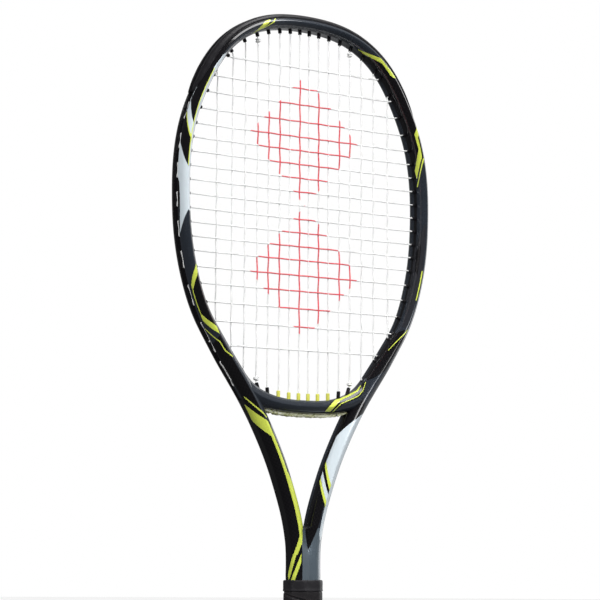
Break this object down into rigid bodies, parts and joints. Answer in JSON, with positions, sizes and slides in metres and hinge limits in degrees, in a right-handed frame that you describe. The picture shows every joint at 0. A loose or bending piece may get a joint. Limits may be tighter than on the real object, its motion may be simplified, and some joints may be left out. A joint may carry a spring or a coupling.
{
  "type": "tennis racket",
  "caption": "Open-throat adult tennis racket with a woven string bed, wrapped octagonal grip, sliding rubber grip collar and a hinged butt cap door.",
  "frame": {"origin": "centre of the butt cap's end face", "axes": "+Z along the racket from butt to head, +X across the head, +Y through the string bed"},
  "size_m": [0.2658, 0.0348, 0.6863],
  "materials": {
    "painted_composite": "lacquered carbon composite, charcoal and black with lime and pale grey bands",
    "black_nylon": "black moulded nylon, soft gloss",
    "lime_nylon": "lime yellow moulded nylon",
    "string": "off-white translucent monofilament",
    "handle_foam": "rigid polyurethane foam",
    "grip": "black synthetic leather, perforated, matt",
    "tape": "black adhesive tape",
    "collar_rubber": "black rubber, satin",
    "cap_plastic": "black moulded plastic",
    "staple_steel": "zinc-plated steel wire"
  },
  "bodies": {
    "racket": {"frame_tube": "painted_composite", "throat_bridge": "painted_composite", "bumper_guard": "black_nylon", "side_grommet_strip_left": "black_nylon", "side_grommet_strip_right": "black_nylon", "bridge_grommet_strip": "lime_nylon", "bridge_grommets_left": "black_nylon", "bridge_grommets_right": "black_nylon", "main_string": "string", "cross_string": "string", "string_knots": "string", "handle_pallet_front": "handle_foam", "handle_pallet_back": "handle_foam", "leg_plug_left": "handle_foam", "leg_plug_right": "handle_foam", "grip_wrap": "grip", "finishing_tape": "tape", "butt_cap": "cap_plastic", "butt_cap_staples": "staple_steel"},
    "collar": {"grip_collar": "collar_rubber"},
    "door": {"butt_cap_door": "cap_plastic"}
  },
  "joints": [
    {"name": "collar_slide", "type": "slide", "parent": "racket", "child": "collar", "axis": [0, 0, 1], "range_m": [0, 0.014]},
    {"name": "door_hinge", "type": "hinge", "parent": "racket", "child": "door", "pos_m": [0, 0.0081, 0.00125], "axis": [1, 0, 0], "range_deg": [0, 100]}
  ]
}
